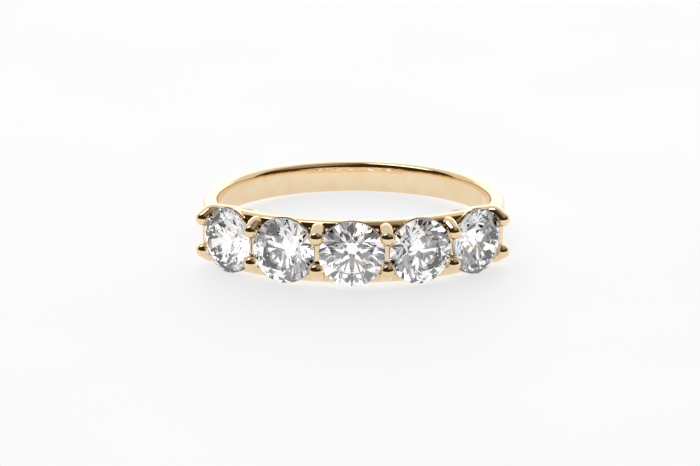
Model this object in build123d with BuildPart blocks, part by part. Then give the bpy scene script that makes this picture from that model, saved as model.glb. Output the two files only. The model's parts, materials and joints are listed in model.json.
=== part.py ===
from build123d import *
import os
from math import asin, atan2, cos, degrees, radians, sin, sqrt, tan

# Five-stone half eternity ring in yellow gold, lying on its side.
# Millimetres. The ring is modelled about the Z axis with its head towards -Y, then laid down on
# the rims of its two end cups and on the back of its band. The origin is the centre of the
# finger hole.

# Finger hole and band
finger_diameter = 17.0
band_width = 2.00
band_thickness = 1.00
band_bulge = 0.08          # how far the outer face is crowned
band_inner_round = 0.30    # comfort rounding beside the finger
band_outer_round = 0.40
inner_round_limit = 0.35   # of the band's side face, where that is narrow
outer_round_limit = 0.45

# Round brilliant stones
stone_diameter = 4.0
girdle_thickness = 0.12
facets_round = 8           # stars, bezels and pavilion mains each
table_share = 0.56         # of the stone's diameter
crown_angle = 34.5
pavilion_angle = 40.75
star_share = 0.50          # of the way from the table's edge to the girdle
lower_half_share = 0.77    # of the way from the girdle to the culet
culet_height = 0.42        # culet above the finger hole's wall
stone_gap = 0.25           # between neighbouring girdles
stone_count = 5
stone_turns = (9.0, 17.0, 0.0, 30.0, 4.0)    # how each stone happened to be set, in degrees

# Gold head: tapered cups, a gallery that fills the notches between them, cross walls, and round
# claws that rise beside the stones and bend inwards over them
seat_clearance = 0.04      # between a stone and its seat
cup_rim_overhang = 0.03    # cup's rim beyond the girdle's radius
cup_rim_drop = 0.15        # cup's rim below the girdle
cup_foot_radius = 1.40
cup_open_radius = 1.15     # open back under each stone
gallery_foot_spread = 1.30 # half its width across the band, at its foot and at its rim
gallery_rim_spread = 2.10
gallery_drop = 0.25        # gallery's rim below the middle of the girdles
gallery_edge = 0.65        # bevel along the rim
wall_thickness = 0.92
wall_foot_spread = 0.95    # half its width across the band, at its foot and at its rim
wall_rim_spread = 1.25
wall_rise = 0.08           # wall's rim beyond the middle of the girdles
claw_radius = 0.48
claw_bend = 1.25           # radius of its bend, as a share of its own
claw_foot_spread = 0.80    # its middle from the ring's mid plane, at its foot, shoulder and tip
claw_shoulder_spread = 1.38
claw_tip_spread = 1.00
claw_shoulder_drop = 0.35  # shoulder below the middle of the girdles
claw_tip_rise = 0.25       # middle of the domed tip beyond the middle of the girdles
root_depth = 0.50          # how far the head reaches into the finger hole before the hole is cut

# Band sizes that follow: each rounding is limited by the band's side face
finger_radius = finger_diameter / 2
side_face = band_thickness - band_bulge
inner_round = min(band_inner_round, inner_round_limit * side_face)
outer_round = min(band_outer_round, outer_round_limit * side_face)

# Stone sizes that follow
stone_radius = stone_diameter / 2
table_radius = table_share * stone_radius
half_girdle = girdle_thickness / 2
half_step = radians(180 / facets_round)
table_height = half_girdle + (stone_radius - table_radius) * tan(radians(crown_angle))
pavilion_depth = stone_radius * tan(radians(pavilion_angle))
girdle_reach = finger_radius + culet_height + pavilion_depth + half_girdle

# Neighbouring girdles come closest in the plane half way between their stones
corner_reach = sqrt(girdle_reach**2 + stone_radius**2)
half_pitch = atan2(stone_radius, girdle_reach) + asin(stone_gap / 2 / corner_reach)
stone_pitch = 2 * degrees(half_pitch)
stone_angles = [stone_pitch * (index - (stone_count - 1) / 2) for index in range(stone_count)]
claw_angles = [stone_pitch * (index - stone_count / 2) for index in range(stone_count + 1)]

# Head sizes that follow
foot_reach = finger_radius - root_depth
cup_rim_radius = stone_radius + cup_rim_overhang
cup_rim_reach = girdle_reach - half_girdle - cup_rim_drop
gallery_reach = girdle_reach - gallery_drop
wall_reach = girdle_reach + wall_rise


def facing_plane(angle, reach):
    """Plane at a distance from the finger's axis, facing outwards, angle measured from -Y."""
    outwards = Vector(sin(radians(angle)), -cos(radians(angle)), 0)
    along = Vector(cos(radians(angle)), sin(radians(angle)), 0)
    return Plane(origin=outwards * reach, x_dir=along, z_dir=outwards)


def around(radius, azimuth, height):
    """Point of a stone at an azimuth in degrees round its own axis."""
    return Vector(radius * cos(radians(azimuth)), radius * sin(radians(azimuth)), height)


def star_tip_place(radius):
    """Reach and height of a star's lower tip, on the ridge between two bezels."""
    table_edge = table_share * radius * cos(half_step)
    reach = table_edge + star_share * (radius - table_edge)
    return reach, half_girdle + (radius - reach * cos(half_step)) * tan(radians(crown_angle))


def lower_tip_place(radius):
    """Reach and height of a lower half's tip, on the ridge between two pavilion mains."""
    reach = radius * (1 - lower_half_share)
    return reach, -half_girdle - (radius - reach * cos(half_step)) * tan(radians(pavilion_angle))


def facet_plane(first, second, third):
    """Plane through three points whose normal points out of the stone."""
    middle = (first + second + third) * (1 / 3)
    normal = (second - first).cross(third - first).normalized()
    return Plane(origin=middle, z_dir=normal if normal.dot(middle) > 0 else normal * -1)


def brilliant_facets():
    """Planes of the 8 stars, 8 bezels, 16 upper halves, 16 lower halves and 8 pavilion mains."""
    step = 2 * degrees(half_step)
    star_reach, star_height = star_tip_place(stone_radius)
    lower_reach, lower_height = lower_tip_place(stone_radius)
    culet = Vector(0, 0, -half_girdle - pavilion_depth)
    planes = []
    for azimuth in [step * index for index in range(facets_round)]:
        table_corner = around(table_radius, azimuth, table_height)
        next_corner = around(table_radius, azimuth + step, table_height)
        star_tip = around(star_reach, azimuth + step / 2, star_height)
        last_star_tip = around(star_reach, azimuth - step / 2, star_height)
        lower_tip = around(lower_reach, azimuth + step / 2, lower_height)
        last_lower_tip = around(lower_reach, azimuth - step / 2, lower_height)
        planes.append(facet_plane(table_corner, next_corner, star_tip))
        planes.append(facet_plane(table_corner, star_tip, last_star_tip))
        planes.append(facet_plane(culet, lower_tip, last_lower_tip))
        for start in (azimuth, azimuth + step / 2):
            upper_edge = [around(stone_radius, turn, half_girdle) for turn in (start, start + step / 2)]
            lower_edge = [around(stone_radius, turn, -half_girdle) for turn in (start, start + step / 2)]
            planes.append(facet_plane(*upper_edge, star_tip))
            planes.append(facet_plane(*lower_edge, lower_tip))
    return planes


# Where the ring rests: the end cups' rims at the front and the band's side face at the back
front_run = cup_rim_reach * cos(radians(stone_angles[-1]))
back_run = finger_radius + band_thickness - outer_round
rest_tilt = degrees(atan2(cup_rim_radius - band_width / 2, front_run + back_run))
laid_down = Location((0, 0, 0), (-rest_tilt, 0, 0))

# One brilliant about its own axis, with the middle of its girdle at the origin
with BuildPart() as brilliant:
    with BuildSketch(Plane.XY.offset(-half_girdle - pavilion_depth)):
        Circle(stone_radius)
    extrude(amount=half_girdle + pavilion_depth + table_height)
    for facet in brilliant_facets():
        split(bisect_by=facet, keep=Keep.BOTTOM)

# Room for one stone: the outer form that it sweeps when turned, with its clearance
with BuildPart() as seat_room:
    seat_radius = stone_radius + seat_clearance
    room_top = table_height + 2 * claw_radius
    with BuildSketch(Plane.XZ):
        Polygon(
            (0, -half_girdle - seat_radius * tan(radians(pavilion_angle))),
            lower_tip_place(seat_radius),
            (seat_radius, -half_girdle),
            (seat_radius, half_girdle),
            star_tip_place(seat_radius),
            (table_share * seat_radius, table_height + seat_clearance),
            (table_share * seat_radius, room_top),
            (0, room_top),
            align=None,
        )
    revolve(axis=Axis.Z)

# Two claws opposite each other, in the plane through the finger's axis and half way between stones
with BuildPart() as claw_pair:
    with BuildLine(Plane.YZ) as claw_path:
        FilletPolyline(
            (claw_foot_spread, foot_reach),
            (claw_shoulder_spread, girdle_reach - claw_shoulder_drop),
            (claw_tip_spread, girdle_reach + claw_tip_rise),
            radius=claw_bend * claw_radius,
        )
    claw_axis = claw_path.wires()[0]
    with BuildSketch(Plane(origin=claw_axis @ 0, x_dir=(1, 0, 0), z_dir=claw_axis % 0)):
        Circle(claw_radius)
    sweep(path=claw_axis)
    with Locations(Plane(origin=claw_axis @ 1, x_dir=(1, 0, 0), z_dir=claw_axis % 1)):
        Sphere(claw_radius, arc_size1=0)
    mirror(about=Plane.XZ)

# Gallery between the middles of the end stones
with BuildPart() as gallery:
    with BuildSketch(Plane.XZ) as gallery_section:
        Polygon(
            (foot_reach, gallery_foot_spread),
            (gallery_reach, gallery_rim_spread),
            (gallery_reach, -gallery_rim_spread),
            (foot_reach, -gallery_foot_spread),
            align=None,
        )
        chamfer(gallery_section.vertices().group_by(Axis.X)[-1], gallery_edge)
    revolve(axis=Axis.Z, revolution_arc=stone_angles[-1] - stone_angles[0])

# Cross wall between two claws, which widens outwards
with BuildPart() as cross_wall:
    with BuildSketch(Plane.YZ):
        Polygon(
            (wall_foot_spread, foot_reach),
            (wall_rim_spread, wall_reach),
            (-wall_rim_spread, wall_reach),
            (-wall_foot_spread, foot_reach),
            align=None,
        )
    extrude(amount=wall_thickness / 2, both=True)

# Band, cups, gallery, cross walls and claws are soldered and cast as one piece of gold
with BuildPart() as gold_mount:
    with BuildSketch(Plane.XZ) as band_section:
        with BuildLine():
            outer_corner = finger_radius + side_face
            Line((finger_radius, -band_width / 2), (finger_radius, band_width / 2))
            Line((finger_radius, band_width / 2), (outer_corner, band_width / 2))
            ThreePointArc(
                (outer_corner, band_width / 2),
                (finger_radius + band_thickness, 0),
                (outer_corner, -band_width / 2),
            )
            Line((outer_corner, -band_width / 2), (finger_radius, -band_width / 2))
        make_face()
        fillet(band_section.vertices().group_by(Axis.X)[0], inner_round)
        fillet(band_section.vertices().group_by(Axis.X)[-1], outer_round)
    revolve(axis=Axis.Z)
    with Locations(*[facing_plane(angle, foot_reach) for angle in stone_angles]):
        Cone(
            bottom_radius=cup_foot_radius,
            top_radius=cup_rim_radius,
            height=cup_rim_reach - foot_reach,
            align=(Align.CENTER, Align.CENTER, Align.MIN),
        )
    with Locations((0, 0, 0)):
        add(gallery.part, rotation=(0, 0, stone_angles[0] - 90))
    with Locations(*[facing_plane(angle, 0) for angle in claw_angles]):
        add(cross_wall.part)
        add(claw_pair.part)
    with Locations(*[facing_plane(angle, girdle_reach) for angle in stone_angles]):
        add(seat_room.part, mode=Mode.SUBTRACT)
    with Locations(*[facing_plane(angle, foot_reach) for angle in stone_angles]):
        Cylinder(
            cup_open_radius,
            girdle_reach - foot_reach,
            align=(Align.CENTER, Align.CENTER, Align.MIN),
            mode=Mode.SUBTRACT,
        )
    Cylinder(finger_radius, 4 * stone_radius, mode=Mode.SUBTRACT)

os.makedirs("parts", exist_ok=True)

with BuildPart() as gold:
    with Locations(laid_down):
        add(gold_mount.part)
gold.part.label = "gold_mount"
export_step(gold.part, "parts/gold_mount.step")

for number, angle in enumerate(stone_angles, start=1):
    turn = stone_turns[(number - 1) % len(stone_turns)]
    seat = laid_down * facing_plane(angle, girdle_reach).location * Location((0, 0, 0), (0, 0, turn))
    with BuildPart() as stone:
        with Locations(seat):
            add(brilliant.part)
    stone.part.label = f"stone_{number}"
    export_step(stone.part, f"parts/stone_{number}.step")
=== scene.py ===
"""Five-stone half eternity ring in yellow gold, lying on its side on a satin white sheet.

The gold is modelled as one finely spun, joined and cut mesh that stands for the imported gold_mount.
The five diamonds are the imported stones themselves, with a diamond's finish. Ring sizes are in
millimetres about the ring's own axis, as a jeweller measures them, and each finished mesh is laid
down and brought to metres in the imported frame.
"""

import json
import logging
import math
from dataclasses import dataclass, field
from enum import Enum

import bmesh
import bpy
from bpy.types import Material, Node, NodeSocket, NodeTree, Object, ShaderNodeTree
from mathutils import Matrix, Vector


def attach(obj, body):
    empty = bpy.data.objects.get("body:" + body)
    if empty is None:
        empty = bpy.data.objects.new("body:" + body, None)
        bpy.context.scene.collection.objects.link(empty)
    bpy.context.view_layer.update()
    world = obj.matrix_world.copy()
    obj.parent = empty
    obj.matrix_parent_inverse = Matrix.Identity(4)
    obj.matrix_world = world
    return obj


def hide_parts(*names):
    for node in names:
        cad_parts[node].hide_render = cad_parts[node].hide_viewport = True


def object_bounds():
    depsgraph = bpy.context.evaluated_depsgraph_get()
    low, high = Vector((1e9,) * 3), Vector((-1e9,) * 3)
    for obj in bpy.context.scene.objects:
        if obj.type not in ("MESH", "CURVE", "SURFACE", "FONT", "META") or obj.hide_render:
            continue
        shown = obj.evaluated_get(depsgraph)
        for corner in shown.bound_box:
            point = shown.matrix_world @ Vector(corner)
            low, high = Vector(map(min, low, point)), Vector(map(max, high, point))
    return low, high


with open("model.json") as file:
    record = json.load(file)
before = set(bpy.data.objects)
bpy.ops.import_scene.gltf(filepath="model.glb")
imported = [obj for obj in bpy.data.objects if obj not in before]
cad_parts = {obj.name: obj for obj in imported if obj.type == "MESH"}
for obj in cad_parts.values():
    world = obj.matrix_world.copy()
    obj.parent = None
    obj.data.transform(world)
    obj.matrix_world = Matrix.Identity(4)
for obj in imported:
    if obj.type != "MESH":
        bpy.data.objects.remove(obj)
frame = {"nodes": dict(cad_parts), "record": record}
CAD_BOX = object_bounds()

LOG = logging.getLogger("ring")
MILLIMETRE = 0.001
MERGE = 1e-4
FINE_MERGE = 1e-5
SLIVER = 1e-6

Colour = tuple[float, float, float, float]
Span = tuple[float, float]
Direction = tuple[float, float, float]

WHITE: Colour = (1.0, 1.0, 1.0, 1.0)
FULL: Span = (0.0, 1.0)


class Join(Enum):
    """How a set of tools meets the body that it is joined with or cut from."""

    SOLDER = "UNION"
    CUT = "DIFFERENCE"


class Side(Enum):
    """Which of the band's two side faces a claw stands nearer to."""

    UPPER = 1
    LOWER = -1


# Mesh and placing helpers


def facing(angle: float, reach: float) -> Matrix:
    """Gives a frame at a distance from the finger's axis whose Z axis points outwards.

    Args:
        angle: Angle round the ring from the middle of its head, in degrees.
        reach: Distance from the finger's axis, in millimetres.

    Returns:
        The frame's matrix, with X along the ring and Y along the finger's axis.
    """
    turn = Matrix.Rotation(math.radians(angle), 4, "Z")
    upright = Matrix.Rotation(math.radians(90), 4, "X")
    return turn @ upright @ Matrix.Translation((0, 0, reach))


def mesh_object(name: str, shape: bmesh.types.BMesh) -> Object:
    """Turns a bmesh into a linked object and frees the bmesh.

    Args:
        name: Name of the object and its mesh.
        shape: The bmesh, which is freed.

    Returns:
        The new object.
    """
    mesh = bpy.data.meshes.new(name)
    shape.to_mesh(mesh)
    shape.free()
    made = bpy.data.objects.new(name, mesh)
    bpy.context.scene.collection.objects.link(made)
    return made


def combined(body: Object, tools: list[Object], join: Join) -> Object:
    """Joins tools with a body or cuts them from it, and removes the tools.

    Args:
        body: The object that is changed.
        tools: The objects that are joined or cut, which are removed.
        join: Whether the tools are soldered on or cut out.

    Returns:
        The changed body.
    """
    kit = bpy.data.collections.new("tools")
    bpy.context.scene.collection.children.link(kit)
    for tool in tools:
        kit.objects.link(tool)
    modifier = body.modifiers.new(join.value, "BOOLEAN")
    modifier.operation = join.value
    modifier.solver = "EXACT"
    modifier.use_self = join is Join.SOLDER
    modifier.operand_type = "COLLECTION"
    modifier.collection = kit
    worked = body.evaluated_get(bpy.context.evaluated_depsgraph_get())
    mesh = bpy.data.meshes.new_from_object(worked)
    body.modifiers.clear()
    body.data = mesh
    for tool in tools:
        bpy.data.objects.remove(tool)
    bpy.data.collections.remove(kit)
    return body


# Sub-assemblies


@dataclass(frozen=True)
class Band:
    """The ring's band: a slim hoop with rounded edges, crowned gently outside and inside."""

    finger_radius: float = 8.5
    width: float = 2.00
    thickness: float = 1.00
    bulge: float = 0.08
    comfort: float = 0.08
    inner_round: float = 0.30
    outer_round: float = 0.40
    crown_cuts: int = 7
    round_steps: int = 8
    hoop_steps: int = 360

    def hoop(self) -> Object:
        """Spins the rounded section about the finger's axis.

        Returns:
            The closed hoop, in millimetres about the finger's axis.
        """
        shape = bmesh.new()
        outer = self.finger_radius + self.thickness - self.bulge
        half = self.width / 2
        inner = self.finger_radius
        places = [(inner, -half), (outer, -half), (outer, half), (inner, half)]
        shape.faces.new([shape.verts.new((x, 0, z)) for x, z in places])
        for side, round_size in ((outer, self.outer_round), (inner, self.inner_round)):
            bmesh.ops.bevel(
                shape,
                geom=[vert for vert in shape.verts if abs(vert.co.x - side) < MERGE],
                offset=round_size,
                offset_type="OFFSET",
                affect="VERTICES",
                segments=self.round_steps,
                profile=0.5,
                material=-1,
            )
        for side in (outer, inner):
            flat = [
                edge
                for edge in shape.edges
                if all(abs(vert.co.x - side) < MERGE for vert in edge.verts)
            ]
            bmesh.ops.subdivide_edges(shape, edges=flat, cuts=self.crown_cuts)
        for vert in shape.verts:
            if vert.co.x > inner + self.thickness / 2:
                vert.co.x += self.bulge * (1 - (vert.co.z / half) ** 2)
            else:
                vert.co.x += self.comfort * (vert.co.z / half) ** 2
        bmesh.ops.delete(shape, geom=shape.faces[:], context="FACES_ONLY")
        bmesh.ops.spin(
            shape,
            geom=shape.verts[:] + shape.edges[:],
            cent=(0, 0, 0),
            axis=(0, 0, 1),
            dvec=(0, 0, 0),
            angle=math.tau,
            steps=self.hoop_steps,
            use_merge=True,
        )
        bmesh.ops.recalc_face_normals(shape, faces=shape.faces[:])
        return mesh_object("band", shape)


@dataclass(frozen=True)
class Brilliant:
    """One round brilliant's outer sizes, which its seat in the gold follows."""

    radius: float = 2.0
    girdle: float = 0.12
    facets_round: int = 8
    table_share: float = 0.56
    crown_angle: float = 34.5
    pavilion_angle: float = 40.75
    star_share: float = 0.50
    lower_half_share: float = 0.77
    clearance: float = 0.04
    headroom: float = 0.92
    seat_steps: int = 128

    @property
    def pavilion_depth(self) -> float:
        """Depth of the culet below the girdle."""
        return self.radius * math.tan(math.radians(self.pavilion_angle))

    @property
    def table_height(self) -> float:
        """Height of the table above the middle of the girdle."""
        rise = self.radius * (1 - self.table_share) * math.tan(math.radians(self.crown_angle))
        return self.girdle / 2 + rise

    def ridge(self, reach: float, room: float, slope: float) -> float:
        """Gives a facet ridge's height beyond the girdle.

        Args:
            reach: Distance of the ridge's tip from the stone's axis.
            room: The stone's radius with its clearance.
            slope: Angle of the facets beside the ridge, in degrees.

        Returns:
            The height from the middle of the girdle, measured away from it.
        """
        flat = reach * math.cos(math.radians(180 / self.facets_round))
        return self.girdle / 2 + (room - flat) * math.tan(math.radians(slope))

    def seat(self) -> Object:
        """Spins the room that the stone needs, from its culet up to open air above its table.

        Returns:
            The cutter of the seat, with the middle of the girdle at the origin.
        """
        room = self.radius + self.clearance
        table_edge = self.table_share * room * math.cos(math.radians(180 / self.facets_round))
        star = table_edge + self.star_share * (room - table_edge)
        lower = room * (1 - self.lower_half_share)
        places = [
            (0, -self.girdle / 2 - room * math.tan(math.radians(self.pavilion_angle))),
            (lower, -self.ridge(lower, room, self.pavilion_angle)),
            (room, -self.girdle / 2),
            (room, self.girdle / 2),
            (star, self.ridge(star, room, self.crown_angle)),
            (self.table_share * room, self.table_height + self.clearance),
            (self.table_share * room, self.table_height + self.headroom),
            (0, self.table_height + self.headroom),
        ]
        return spun("seat", places, self.seat_steps)


def spun(name: str, places: list[tuple[float, float]], steps: int) -> Object:
    """Spins a section, given as reach and height along its axis, into a closed solid.

    Args:
        name: Name of the object.
        places: Points of the section from one end of the axis to the other.
        steps: Number of steps round the axis.

    Returns:
        The new object.
    """
    shape = bmesh.new()
    verts = [shape.verts.new((reach, 0, height)) for reach, height in places]
    for first, second in zip(verts, verts[1:]):
        shape.edges.new((first, second))
    bmesh.ops.spin(
        shape,
        geom=shape.verts[:] + shape.edges[:],
        cent=(0, 0, 0),
        axis=(0, 0, 1),
        dvec=(0, 0, 0),
        angle=math.tau,
        steps=steps,
        use_merge=True,
    )
    bmesh.ops.remove_doubles(shape, verts=shape.verts[:], dist=FINE_MERGE)
    bmesh.ops.dissolve_degenerate(shape, dist=SLIVER, edges=shape.edges[:])
    bmesh.ops.recalc_face_normals(shape, faces=shape.faces[:])
    return mesh_object(name, shape)


@dataclass(frozen=True)
class Claw:
    """A round claw that rises beside two stones, bends inwards and ends in a dome over them."""

    foot_spread: float = 0.80
    shoulder_spread: float = 1.38
    tip_spread: float = 1.00
    shoulder_drop: float = 0.35
    tip_rise: float = 0.25
    radius: float = 0.48
    bend: float = 1.25
    bend_steps: int = 12
    dome_steps: int = 12
    dome_share: float = 0.97
    round_steps: int = 48

    def grown(self, foot_reach: float, girdle_reach: float) -> bmesh.types.BMesh:
        """Sweeps one claw from its foot to its domed tip, above the ring's mid plane.

        Args:
            foot_reach: Distance of the claw's foot from the finger's axis.
            girdle_reach: Distance of the middle of the girdles from the finger's axis.

        Returns:
            The claw in the plane across the band, with Z pointing outwards.
        """
        foot = Vector((0, self.foot_spread, foot_reach))
        shoulder = Vector((0, self.shoulder_spread, girdle_reach - self.shoulder_drop))
        tip = Vector((0, self.tip_spread, girdle_reach + self.tip_rise))
        rising, leaning = (shoulder - foot).normalized(), (tip - shoulder).normalized()
        turn = rising.angle(leaning)
        bend_radius = self.bend * self.radius
        cut = bend_radius * math.tan(turn / 2)
        stand = Matrix.Translation(foot) @ rising.to_track_quat("Z", "X").to_matrix().to_4x4()
        shape = bmesh.new()
        bmesh.ops.create_circle(
            shape, cap_ends=True, segments=self.round_steps, radius=self.radius, matrix=stand
        )
        shape.faces.ensure_lookup_table()
        end = self.pulled(shape, shape.faces[0], (shoulder - foot) - cut * rising)
        inwards = Vector((0, -rising.z, rising.y))
        bent = bmesh.ops.spin(
            shape,
            geom=[end, *end.edges],
            cent=shoulder - cut * rising + bend_radius * inwards,
            axis=(1, 0, 0),
            dvec=(0, 0, 0),
            angle=turn,
            steps=self.bend_steps,
        )
        end = next(part for part in bent["geom_last"] if isinstance(part, bmesh.types.BMFace))
        end = self.pulled(shape, end, (tip - shoulder) - cut * leaning)
        top_lean = self.dome_share * math.pi / 2
        leans = [top_lean * step / self.dome_steps for step in range(self.dome_steps + 1)]
        for low, high in zip(leans, leans[1:]):
            end = self.pulled(shape, end, leaning * self.radius * (math.sin(high) - math.sin(low)))
            middle = end.calc_center_median()
            shrink = Matrix.Scale(math.cos(high) / math.cos(low), 4)
            about = Matrix.Translation(-middle)
            bmesh.ops.transform(shape, matrix=shrink, space=about, verts=end.verts[:])
        bmesh.ops.recalc_face_normals(shape, faces=shape.faces[:])
        return shape

    @staticmethod
    def pulled(
        shape: bmesh.types.BMesh, end: bmesh.types.BMFace, step: Vector
    ) -> bmesh.types.BMFace:
        """Pulls a claw's end face out by a step.

        Args:
            shape: The claw's bmesh.
            end: The end face.
            step: How far and which way it is pulled.

        Returns:
            The new end face.
        """
        made = bmesh.ops.extrude_face_region(shape, geom=[end, *end.edges])["geom"]
        moved = [part for part in made if isinstance(part, bmesh.types.BMVert)]
        bmesh.ops.translate(shape, verts=moved, vec=step)
        return next(part for part in made if isinstance(part, bmesh.types.BMFace))

    def standing(self, angle: float, side: Side, foot_reach: float, girdle_reach: float) -> Object:
        """Stands the claw on the ring.

        Args:
            angle: Angle round the ring from the middle of its head, in degrees.
            side: The side face that the claw stands nearer to.
            foot_reach: Distance of the claw's foot from the finger's axis.
            girdle_reach: Distance of the middle of the girdles from the finger's axis.

        Returns:
            The new object.
        """
        shape = self.grown(foot_reach, girdle_reach)
        handed = Matrix.Diagonal((1, side.value, 1, 1))
        bmesh.ops.transform(shape, matrix=facing(angle, 0) @ handed, verts=shape.verts[:])
        bmesh.ops.recalc_face_normals(shape, faces=shape.faces[:])
        return mesh_object("claw", shape)


@dataclass
class GoldMount:
    """The gold: band, cups, gallery, walls and shared claws, soldered and cut as one piece."""

    tilt: float
    band: Band = field(default_factory=Band)
    claw: Claw = field(default_factory=Claw)
    stone: Brilliant = field(default_factory=Brilliant)
    stone_count: int = 5
    stone_gap: float = 0.25
    culet_height: float = 0.42
    cup_rim_overhang: float = 0.03
    cup_rim_drop: float = 0.15
    cup_foot_radius: float = 1.40
    cup_open_radius: float = 1.15
    open_steps: int = 96
    cup_steps: int = 128
    gallery_steps: int = 90
    edge_steps: int = 6
    gallery_foot_spread: float = 1.30
    gallery_rim_spread: float = 2.10
    gallery_drop: float = 0.25
    gallery_edge: float = 0.65
    wall_thickness: float = 0.92
    wall_foot_spread: float = 0.95
    wall_rim_spread: float = 1.25
    wall_rise: float = 0.08
    wall_edge: float = 0.06
    root_depth: float = 0.50
    bore_shift: float = 0.012
    bore_length: float = 8.0
    crease: float = 30.0

    @property
    def girdle_reach(self) -> float:
        """Distance of each girdle's middle from the finger's axis."""
        culet_reach = self.band.finger_radius + self.culet_height
        return culet_reach + self.stone.pavilion_depth + self.stone.girdle / 2

    @property
    def foot_reach(self) -> float:
        """Distance of the head's roots from the finger's axis."""
        return self.band.finger_radius - self.root_depth

    @property
    def pitch(self) -> float:
        """Angle between neighbouring stones in degrees, from the gap between their girdles."""
        corner = math.hypot(self.girdle_reach, self.stone.radius)
        half_stone = math.atan2(self.stone.radius, self.girdle_reach)
        return 2 * math.degrees(half_stone + math.asin(self.stone_gap / 2 / corner))

    @property
    def stone_angles(self) -> list[float]:
        """Angles of the stones round the ring, left to right, in degrees."""
        middle = (self.stone_count - 1) / 2
        return [self.pitch * (index - middle) for index in range(self.stone_count)]

    @property
    def claw_angles(self) -> list[float]:
        """Angles of the pairs of claws, left to right, in degrees."""
        middle = self.stone_count / 2
        return [self.pitch * (index - middle) for index in range(self.stone_count + 1)]

    @property
    def laid_down(self) -> Matrix:
        """Matrix from the ring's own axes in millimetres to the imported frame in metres."""
        return Matrix.Rotation(-self.tilt, 4, "X") @ Matrix.Scale(MILLIMETRE, 4)

    def cup(self, angle: float) -> Object:
        """Makes one tapered cup under a stone.

        Args:
            angle: Angle round the ring from the middle of its head, in degrees.

        Returns:
            The new object.
        """
        rim_reach = self.girdle_reach - self.stone.girdle / 2 - self.cup_rim_drop
        depth = rim_reach - self.foot_reach
        shape = bmesh.new()
        bmesh.ops.create_cone(
            shape,
            cap_ends=True,
            segments=self.cup_steps,
            radius1=self.cup_foot_radius,
            radius2=self.stone.radius + self.cup_rim_overhang,
            depth=depth,
            matrix=facing(angle, self.foot_reach + depth / 2),
        )
        return mesh_object("cup", shape)

    def gallery(self) -> Object:
        """Spins the gallery that fills the notches between the cups, with its rim bevelled.

        Returns:
            The new object, which reaches from the first stone's middle to the last one's.
        """
        rim_reach = self.girdle_reach - self.gallery_drop
        rim, foot = self.gallery_rim_spread, self.gallery_foot_spread
        foot_reach = self.foot_reach
        places = [(foot_reach, foot), (rim_reach, rim), (rim_reach, -rim), (foot_reach, -foot)]
        shape = bmesh.new()
        shape.faces.new([shape.verts.new((x, 0, z)) for x, z in places])
        bmesh.ops.bevel(
            shape,
            geom=[vert for vert in shape.verts if abs(vert.co.x - rim_reach) < MERGE],
            offset=self.gallery_edge,
            offset_type="OFFSET",
            affect="VERTICES",
            segments=self.edge_steps,
            profile=0.5,
            material=-1,
        )
        arc = math.radians(self.stone_angles[-1] - self.stone_angles[0])
        bmesh.ops.spin(
            shape,
            geom=shape.faces[:],
            cent=(0, 0, 0),
            axis=(0, 0, 1),
            dvec=(0, 0, 0),
            angle=arc,
            steps=self.gallery_steps,
        )
        bmesh.ops.recalc_face_normals(shape, faces=shape.faces[:])
        start = Matrix.Rotation(math.radians(self.stone_angles[0] - 90), 4, "Z")
        bmesh.ops.transform(shape, matrix=start, verts=shape.verts[:])
        return mesh_object("gallery", shape)

    def cross_wall(self, angle: float) -> Object:
        """Makes one cross wall, which widens outwards, with its rim softened.

        Args:
            angle: Angle round the ring from the middle of its head, in degrees.

        Returns:
            The new object.
        """
        rim_reach = self.girdle_reach + self.wall_rise
        rim, foot = self.wall_rim_spread, self.wall_foot_spread
        near, foot_reach = -self.wall_thickness / 2, self.foot_reach
        places = [(foot, foot_reach), (rim, rim_reach), (-rim, rim_reach), (-foot, foot_reach)]
        shape = bmesh.new()
        face = shape.faces.new([shape.verts.new((near, y, z)) for y, z in places])
        pulled = bmesh.ops.extrude_face_region(shape, geom=[face])
        moved = [part for part in pulled["geom"] if isinstance(part, bmesh.types.BMVert)]
        bmesh.ops.translate(shape, verts=moved, vec=(self.wall_thickness, 0, 0))
        bmesh.ops.recalc_face_normals(shape, faces=shape.faces[:])
        bmesh.ops.bevel(
            shape,
            geom=[
                edge
                for edge in shape.edges
                if all(vert.co.z > rim_reach - MERGE for vert in edge.verts)
            ],
            offset=self.wall_edge,
            offset_type="OFFSET",
            affect="EDGES",
            segments=self.edge_steps,
            profile=0.5,
            material=-1,
        )
        bmesh.ops.transform(shape, matrix=facing(angle, 0), verts=shape.verts[:])
        return mesh_object("cross_wall", shape)

    def open_back(self, angle: float) -> Object:
        """Makes the cutter of the open back under a stone.

        Args:
            angle: Angle round the ring from the middle of its head, in degrees.

        Returns:
            The new object.
        """
        depth = self.girdle_reach - self.foot_reach
        shape = bmesh.new()
        bmesh.ops.create_cone(
            shape,
            cap_ends=True,
            segments=self.open_steps,
            radius1=self.cup_open_radius,
            radius2=self.cup_open_radius,
            depth=depth,
            matrix=facing(angle, self.foot_reach + depth / 2),
        )
        return mesh_object("open_back", shape)

    def finger_bore(self) -> Object:
        """Makes the cutter that trims the head's roots just inside the band's wall.

        Returns:
            The cutter, longer than the head is wide.
        """
        radius = self.band.finger_radius + self.bore_shift
        shape = bmesh.new()
        bmesh.ops.create_cone(
            shape,
            cap_ends=True,
            segments=self.band.hoop_steps,
            radius1=radius,
            radius2=radius,
            depth=self.bore_length,
            matrix=Matrix.Rotation(math.pi / self.band.hoop_steps, 4, "Z"),
        )
        return mesh_object("finger_bore", shape)

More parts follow.
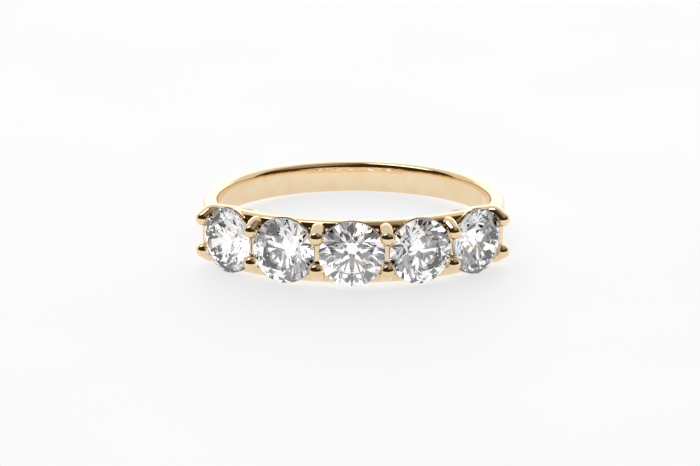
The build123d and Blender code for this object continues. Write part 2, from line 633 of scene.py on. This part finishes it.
    def head(self) -> Object:
        """Joins cups, gallery, walls and claws and trims their roots at the finger hole.

        Returns:
            The head as one closed mesh.
        """
        cups = [self.cup(angle) for angle in self.stone_angles]
        claws = [
            self.claw.standing(angle, side, self.foot_reach, self.girdle_reach)
            for angle in self.claw_angles
            for side in Side
        ]
        walls = [self.cross_wall(angle) for angle in self.claw_angles]
        head = combined(cups[0], cups[1:] + [self.gallery()] + walls + claws, Join.SOLDER)
        return combined(head, [self.finger_bore()], Join.CUT)

    def build(self) -> Object:
        """Joins the band and the head, cuts the seats and open backs and lays the ring down.

        Returns:
            The finished gold, riding on the ring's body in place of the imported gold_mount.
        """
        gold = combined(self.band.hoop(), [self.head()], Join.SOLDER)
        seats = []
        for angle in self.stone_angles:
            seat = self.stone.seat()
            seat.data.transform(facing(angle, self.girdle_reach))
            seats.append(seat)
        gold = combined(gold, seats, Join.CUT)
        gold = combined(gold, [self.open_back(angle) for angle in self.stone_angles], Join.CUT)
        gold.name = gold.data.name = "gold_ring"
        shape = bmesh.new()
        shape.from_mesh(gold.data)
        bmesh.ops.remove_doubles(shape, verts=shape.verts[:], dist=MERGE)
        bmesh.ops.dissolve_degenerate(shape, dist=MERGE, edges=shape.edges[:])
        bmesh.ops.recalc_face_normals(shape, faces=shape.faces[:])
        shape.to_mesh(gold.data)
        shape.free()
        gold.data.transform(self.laid_down)
        gold.data.shade_smooth()
        gold.data.set_sharp_from_angle(angle=math.radians(self.crease))
        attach(gold, "root")
        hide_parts("gold_mount")
        return gold

    def stone_frame(self, number: int) -> Matrix:
        """Gives a stone's own frame in metres, its Z axis through the table.

        Args:
            number: Number of the stone from the left, from one.

        Returns:
            The matrix from the stone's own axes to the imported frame.
        """
        return self.laid_down @ facing(self.stone_angles[number - 1], self.girdle_reach)


# Finishes


def add_node(tree: NodeTree, kind: str, **settings: object) -> Node:
    """Adds a node and sets its attributes.

    Args:
        tree: The node tree.
        kind: The node's type name.
        settings: Attributes to set, by name.

    Returns:
        The new node.
    """
    node = tree.nodes.new(kind)
    for name, value in settings.items():
        setattr(node, name, value)
    return node


def fresh_tree(owner: Material | bpy.types.World) -> ShaderNodeTree:
    """Gives a material or world an empty node tree.

    Args:
        owner: The material or world.

    Returns:
        Its node tree, with no nodes.
    """
    owner.use_nodes = True
    owner.node_tree.nodes.clear()
    return owner.node_tree


def noise(tree: NodeTree, vector: NodeSocket, scale: float, detail: float = 3.0) -> NodeSocket:
    """Adds a noise pattern.

    Args:
        tree: The node tree.
        vector: Where the pattern is read.
        scale: Waves per metre.
        detail: How many finer layers the pattern has.

    Returns:
        The pattern's value, from zero to one.
    """
    node = add_node(tree, "ShaderNodeTexNoise")
    node.inputs["Scale"].default_value = scale
    node.inputs["Detail"].default_value = detail
    tree.links.new(vector, node.inputs["Vector"])
    return node.outputs["Fac"]


def ranged(tree: NodeTree, value: NodeSocket, from_range: Span, to_range: Span) -> NodeSocket:
    """Maps a value from one range to another.

    Args:
        tree: The node tree.
        value: The value.
        from_range: The value's lowest and highest.
        to_range: What these become.

    Returns:
        The mapped value.
    """
    node = add_node(tree, "ShaderNodeMapRange")
    tree.links.new(value, node.inputs["Value"])
    for name, number in zip(("From Min", "From Max", "To Min", "To Max"), (*from_range, *to_range)):
        node.inputs[name].default_value = number
    return node.outputs["Result"]


def worked(tree: NodeTree, operation: str, first: NodeSocket, second: NodeSocket) -> NodeSocket:
    """Works out one value from two.

    Args:
        tree: The node tree.
        operation: The math node's operation.
        first: The first value.
        second: The second value.

    Returns:
        The result.
    """
    node = add_node(tree, "ShaderNodeMath", operation=operation)
    tree.links.new(first, node.inputs[0])
    tree.links.new(second, node.inputs[1])
    return node.outputs[0]


def blended(tree: NodeTree, share: NodeSocket, first: NodeSocket, second: NodeSocket) -> NodeSocket:
    """Blends two values.

    Args:
        tree: The node tree.
        share: How much of the second value there is.
        first: The first value.
        second: The second value.

    Returns:
        The blended value.
    """
    node = add_node(tree, "ShaderNodeMix", data_type="FLOAT")
    tree.links.new(share, node.inputs["Factor"])
    tree.links.new(first, node.inputs["A"])
    tree.links.new(second, node.inputs["B"])
    return node.outputs["Result"]


def tinted(
    tree: NodeTree, share: NodeSocket, first: NodeSocket | Colour, second: NodeSocket | Colour
) -> NodeSocket:
    """Blends two colours, each a fixed one or one that is read from a socket.

    Args:
        tree: The node tree.
        share: How much of the second colour there is.
        first: The first colour.
        second: The second colour.

    Returns:
        The blended colour.
    """
    node = add_node(tree, "ShaderNodeMix", data_type="RGBA")
    tree.links.new(share, node.inputs["Factor"])
    for name, colour in (("A", first), ("B", second)):
        if isinstance(colour, NodeSocket):
            tree.links.new(colour, node.inputs[name])
        else:
            node.inputs[name].default_value = colour
    return node.outputs["Result"]


@dataclass(frozen=True)
class PolishedGold:
    """Hand polished 18 carat yellow gold: nearly a mirror, with faint clouds and hairlines."""

    name: str = "polished_gold"
    light: Colour = (0.95, 0.77, 0.52, 1.0)
    deep: Colour = (0.93, 0.72, 0.45, 1.0)
    cloud_scale: float = 900.0
    cloud_edge: Span = (0.35, 0.65)
    hairline_scale: float = 9000.0
    hairline_edge: Span = (0.3, 0.7)
    hairline_detail: float = 6.0
    hairline_stretch: Direction = (0.15, 0.15, 1.0)
    roughness: Span = (0.05, 0.12)
    ripple_scale: float = 1500.0
    ripple_detail: float = 1.0
    ripple_strength: float = 0.25
    ripple_depth: float = 0.00001

    def material(self) -> Material:
        """Builds the finish.

        Returns:
            The new material.
        """
        made = bpy.data.materials.new(self.name)
        tree = fresh_tree(made)
        link = tree.links.new
        out = add_node(tree, "ShaderNodeOutputMaterial")
        shader = add_node(tree, "ShaderNodeBsdfPrincipled")
        shader.inputs["Metallic"].default_value = 1.0
        place = add_node(tree, "ShaderNodeTexCoord").outputs["Object"]
        cloud = ranged(tree, noise(tree, place, self.cloud_scale), self.cloud_edge, FULL)
        link(tinted(tree, cloud, self.light, self.deep), shader.inputs["Base Color"])
        stretch = add_node(tree, "ShaderNodeMapping")
        stretch.inputs["Scale"].default_value = self.hairline_stretch
        link(place, stretch.inputs["Vector"])
        drawn_out = stretch.outputs["Vector"]
        hairlines = noise(tree, drawn_out, self.hairline_scale, self.hairline_detail)
        roughness = ranged(tree, hairlines, self.hairline_edge, self.roughness)
        link(roughness, shader.inputs["Roughness"])
        bump = add_node(tree, "ShaderNodeBump")
        bump.inputs["Strength"].default_value = self.ripple_strength
        bump.inputs["Distance"].default_value = self.ripple_depth
        link(noise(tree, place, self.ripple_scale, self.ripple_detail), bump.inputs["Height"])
        link(bump.outputs["Normal"], shader.inputs["Normal"])
        link(shader.outputs["BSDF"], out.inputs["Surface"])
        return made


@dataclass(frozen=True)
class Diamond:
    """Colourless diamond: polished facets, a frosted girdle and a faint trace of inner cloud."""

    name: str
    stone: Brilliant
    seat: Matrix
    index: float = 2.417
    frosted: float = 0.35
    girdle_edge: Span = (0.98, 1.02)
    cloud: Colour = (0.985, 0.99, 1.0, 1.0)
    cloud_scale: float = 700.0

    def material(self) -> Material:
        """Builds the finish about the stone's own axis.

        Returns:
            The new material.
        """
        made = bpy.data.materials.new(self.name)
        tree = fresh_tree(made)
        link = tree.links.new
        out = add_node(tree, "ShaderNodeOutputMaterial")
        shader = add_node(tree, "ShaderNodeBsdfPrincipled")
        shader.inputs["Transmission Weight"].default_value = 1.0
        shader.inputs["IOR"].default_value = self.index
        place = add_node(tree, "ShaderNodeTexCoord").outputs["Object"]
        centred = add_node(tree, "ShaderNodeMapping", vector_type="TEXTURE")
        centred.inputs["Location"].default_value = self.seat.to_translation()
        centred.inputs["Rotation"].default_value = self.seat.to_euler()
        link(place, centred.inputs["Vector"])
        parts = add_node(tree, "ShaderNodeSeparateXYZ")
        link(centred.outputs["Vector"], parts.inputs["Vector"])
        height = add_node(tree, "ShaderNodeMath", operation="ABSOLUTE")
        link(parts.outputs["Z"], height.inputs[0])
        half = self.stone.girdle / 2 * MILLIMETRE
        edge = (half * self.girdle_edge[0], half * self.girdle_edge[1])
        link(ranged(tree, height.outputs[0], edge, (self.frosted, 0.0)), shader.inputs["Roughness"])
        cloud = noise(tree, centred.outputs["Vector"], self.cloud_scale)
        link(tinted(tree, cloud, WHITE, self.cloud), shader.inputs["Base Color"])
        link(shader.outputs["BSDF"], out.inputs["Surface"])
        return made


@dataclass(frozen=True)
class WhiteAcrylic:
    """The satin white sheet that the ring lies on, lit evenly from below."""

    name: str = "white_acrylic"
    white: Colour = (0.40, 0.38, 0.37, 1.0)
    glow: float = 0.71
    glow_hue: Colour = (0.95, 0.975, 1.0, 1.0)
    gloss: float = 0.20
    satin_scale: float = 60.0
    satin_edge: Span = (0.3, 0.7)
    roughness: Span = (0.55, 0.65)

    def material(self) -> Material:
        """Builds the finish.

        Returns:
            The new material.
        """
        made = bpy.data.materials.new(self.name)
        tree = fresh_tree(made)
        link = tree.links.new
        out = add_node(tree, "ShaderNodeOutputMaterial")
        shader = add_node(tree, "ShaderNodeBsdfPrincipled")
        shader.inputs["Base Color"].default_value = self.white
        shader.inputs["Specular IOR Level"].default_value = self.gloss
        shader.inputs["Emission Color"].default_value = self.glow_hue
        shader.inputs["Emission Strength"].default_value = self.glow
        place = add_node(tree, "ShaderNodeTexCoord").outputs["Object"]
        satin = noise(tree, place, self.satin_scale)
        link(ranged(tree, satin, self.satin_edge, self.roughness), shader.inputs["Roughness"])
        link(shader.outputs["BSDF"], out.inputs["Surface"])
        return made


# Studio


@dataclass
class Studio:
    """White sheet, the light all round it and the camera at the photograph's angle.

    Lengths are in millimetres, apart from the sheet's place and radius. Each edge is the span, from
    minus one to one, of how nearly a direction points the named way.
    """

    floor_z: float
    floor_radius: float = 2.0
    floor_steps: int = 96
    camera_distance: float = 200.0
    camera_elevation: float = 18.4
    camera_turn: float = 0.69
    camera_clip: Span = (0.01, 10.0)
    aim_right: float = 0.24
    aim_up: float = 1.465
    focal_pixels: float = 3180.0
    image_width: int = 700
    sensor: float = 36.0
    white_wall: float = 1.5
    wall_edge: Span = (0.55, 0.80)
    ceiling: float = 0.75
    ceiling_edge: Span = (0.00, 0.14)
    dark_room: float = 0.035
    dark_edge: Span = (0.1, 0.5)
    dark_hue: Colour = (1.0, 0.62, 0.36, 1.0)
    softbox: float = 2.6
    softbox_edge: Span = (0.85, 1.05)
    softbox_place: Direction = (-0.42, -0.09, 0.0)
    softbox_span: Direction = (0.34, 0.15, 100.0)
    fill: float = 0.40
    fill_way: Direction = (0.45, -0.30, 0.84)
    fill_edge: Span = (0.80, 1.00)
    tent: float = 1.28
    bright_side: float = 3.20
    bright_way: Direction = (-0.76, -0.10, 0.64)
    bright_edge: Span = (0.60, 0.95)
    opening: float = 0.14
    opening_way: Direction = (0.20, -0.95, 0.24)
    opening_edge: Span = (0.55, 0.92)
    fold_scale: float = 3.0
    fold_edge: Span = (0.35, 0.65)
    fold_light: Span = (0.60, 1.30)
    hue_scale: float = 5.0
    hue_edge: Span = (0.40, 0.60)
    warm_fold: Colour = (1.0, 0.96, 0.92, 1.0)
    cool_fold: Colour = (0.90, 0.92, 1.0, 1.0)

    def floor(self) -> Object:
        """Lays the white sheet under the ring.

        Returns:
            The sheet, which isn't part of the ring.
        """
        shape = bmesh.new()
        bmesh.ops.create_circle(
            shape,
            cap_ends=True,
            segments=self.floor_steps,
            radius=self.floor_radius,
            matrix=Matrix.Translation((0, 0, self.floor_z)),
        )
        sheet = mesh_object("white_sheet", shape)
        sheet.data.materials.append(WhiteAcrylic().material())
        return sheet

    @staticmethod
    def lean(tree: NodeTree, way: NodeSocket, direction: Direction) -> NodeSocket:
        """Measures how nearly a ray's direction points a given way.

        Args:
            tree: The world's node tree.
            way: The ray's direction.
            direction: The given way, of any length.

        Returns:
            The measure, from minus one to one.
        """
        node = add_node(tree, "ShaderNodeVectorMath", operation="DOT_PRODUCT")
        tree.links.new(way, node.inputs[0])
        node.inputs[1].default_value = Vector(direction).normalized()
        return node.outputs["Value"]

    def room_light(self, tree: NodeTree, way: NodeSocket) -> NodeSocket:
        """Lights what the gold mirrors: a dark room, pale ceiling, white wall, softbox and fill.

        Args:
            tree: The world's node tree.
            way: The ray's direction.

        Returns:
            The room's brightness.
        """
        behind = self.lean(tree, way, (0, 1, 0))
        ceiling = ranged(tree, behind, self.ceiling_edge, (self.dark_room, self.ceiling))
        wall = ranged(tree, behind, self.wall_edge, (0.0, self.white_wall - self.ceiling))
        place = add_node(tree, "ShaderNodeMapping", vector_type="TEXTURE")
        place.inputs["Location"].default_value = self.softbox_place
        place.inputs["Scale"].default_value = self.softbox_span
        tree.links.new(way, place.inputs["Vector"])
        reach = add_node(tree, "ShaderNodeVectorMath", operation="LENGTH")
        tree.links.new(place.outputs["Vector"], reach.inputs[0])
        softbox = ranged(tree, reach.outputs["Value"], self.softbox_edge, (self.softbox, 0.0))
        upper_right = self.lean(tree, way, self.fill_way)
        fill = ranged(tree, upper_right, self.fill_edge, (0.0, self.fill))
        lamps = worked(tree, "MAXIMUM", softbox, fill)
        return worked(tree, "MAXIMUM", worked(tree, "ADD", ceiling, wall), lamps)

    def tent_light(self, tree: NodeTree, way: NodeSocket) -> NodeSocket:
        """Lights what is seen through the stones: a white tent with folds and an opening in front.

        Args:
            tree: The world's node tree.
            way: The ray's direction.

        Returns:
            The tent's brightness.
        """
        bright = self.lean(tree, way, self.bright_way)
        cloth = ranged(tree, bright, self.bright_edge, (self.tent, self.bright_side))
        folds = ranged(tree, noise(tree, way, self.fold_scale), self.fold_edge, self.fold_light)
        front = self.lean(tree, way, self.opening_way)
        opening = ranged(tree, front, self.opening_edge, (1.0, self.opening))
        return worked(tree, "MULTIPLY", worked(tree, "MULTIPLY", cloth, folds), opening)

    def lights(self) -> None:
        """Surrounds the ring with the studio.

        The gold and the sheet are lit by the room. Rays that have passed through a stone are lit by
        the tent, whose folds are faintly warm and cool.
        """
        world = bpy.data.worlds.new("studio")
        bpy.context.scene.world = world
        tree = fresh_tree(world)
        link = tree.links.new
        out = add_node(tree, "ShaderNodeOutputWorld")
        back = add_node(tree, "ShaderNodeBackground")
        way = add_node(tree, "ShaderNodeTexCoord").outputs["Generated"]
        ray = add_node(tree, "ShaderNodeLightPath")
        room, tent = self.room_light(tree, way), self.tent_light(tree, way)
        through = ranged(tree, ray.outputs["Transmission Depth"], FULL, FULL)
        link(blended(tree, through, room, tent), back.inputs["Strength"])
        room_hue = tinted(tree, ranged(tree, room, self.dark_edge, FULL), self.dark_hue, WHITE)
        fold_hue = ranged(tree, noise(tree, way, self.hue_scale), self.hue_edge, FULL)
        tent_hue = tinted(tree, fold_hue, self.warm_fold, self.cool_fold)
        link(tinted(tree, through, room_hue, tent_hue), back.inputs["Color"])
        link(back.outputs["Background"], out.inputs["Surface"])

    def camera(self) -> Object:
        """Sets the camera up at the photograph's angle and distance.

        Returns:
            The camera, which is also set as the scene's own.
        """
        lens = bpy.data.cameras.new("camera")
        lens.sensor_width = self.sensor
        lens.lens = self.focal_pixels / self.image_width * self.sensor
        lens.clip_start, lens.clip_end = self.camera_clip
        made = bpy.data.objects.new("camera", lens)
        bpy.context.scene.collection.objects.link(made)
        height = math.radians(self.camera_elevation)
        forward = Vector((0, math.cos(height), -math.sin(height)))
        up = Vector((0, math.sin(height), math.cos(height)))
        right = Vector((1, 0, 0))
        aside = self.aim_right * right + self.aim_up * up
        place = (-aside - self.camera_distance * forward) * MILLIMETRE
        axes = Matrix((right, up, -forward)).transposed().to_4x4()
        turn = Matrix.Rotation(math.radians(self.camera_turn), 4, "Z")
        made.matrix_world = turn @ Matrix.Translation(place) @ axes
        bpy.context.scene.camera = made
        return made

    def build(self) -> None:
        """Builds floor, lights and camera and sets the plain view transform."""
        self.floor()
        self.lights()
        self.camera()
        bpy.context.scene.view_settings.view_transform = "Standard"


def main() -> None:
    """Builds the ring's gold and finishes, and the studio."""
    logging.basicConfig(level=logging.INFO, format="%(name)s: %(message)s")
    axis = Vector(frame["record"]["mounts"][0]["axis"])
    mount = GoldMount(tilt=math.atan2(axis.y, axis.z))
    gold = mount.build()
    gold.data.materials.clear()
    gold.data.materials.append(PolishedGold().material())
    LOG.info("%s: %d faces", gold.name, len(gold.data.polygons))
    for number in range(1, mount.stone_count + 1):
        node = frame["nodes"][f"stone_{number}"]
        finish = Diamond(f"diamond_{number}", mount.stone, mount.stone_frame(number)).material()
        node.data.materials.clear()
        node.data.materials.append(finish)
        LOG.info("%s: %d faces", node.name, len(node.data.polygons))
    Studio(floor_z=CAD_BOX[0].z).build()


if __name__ == "__main__":
    main()
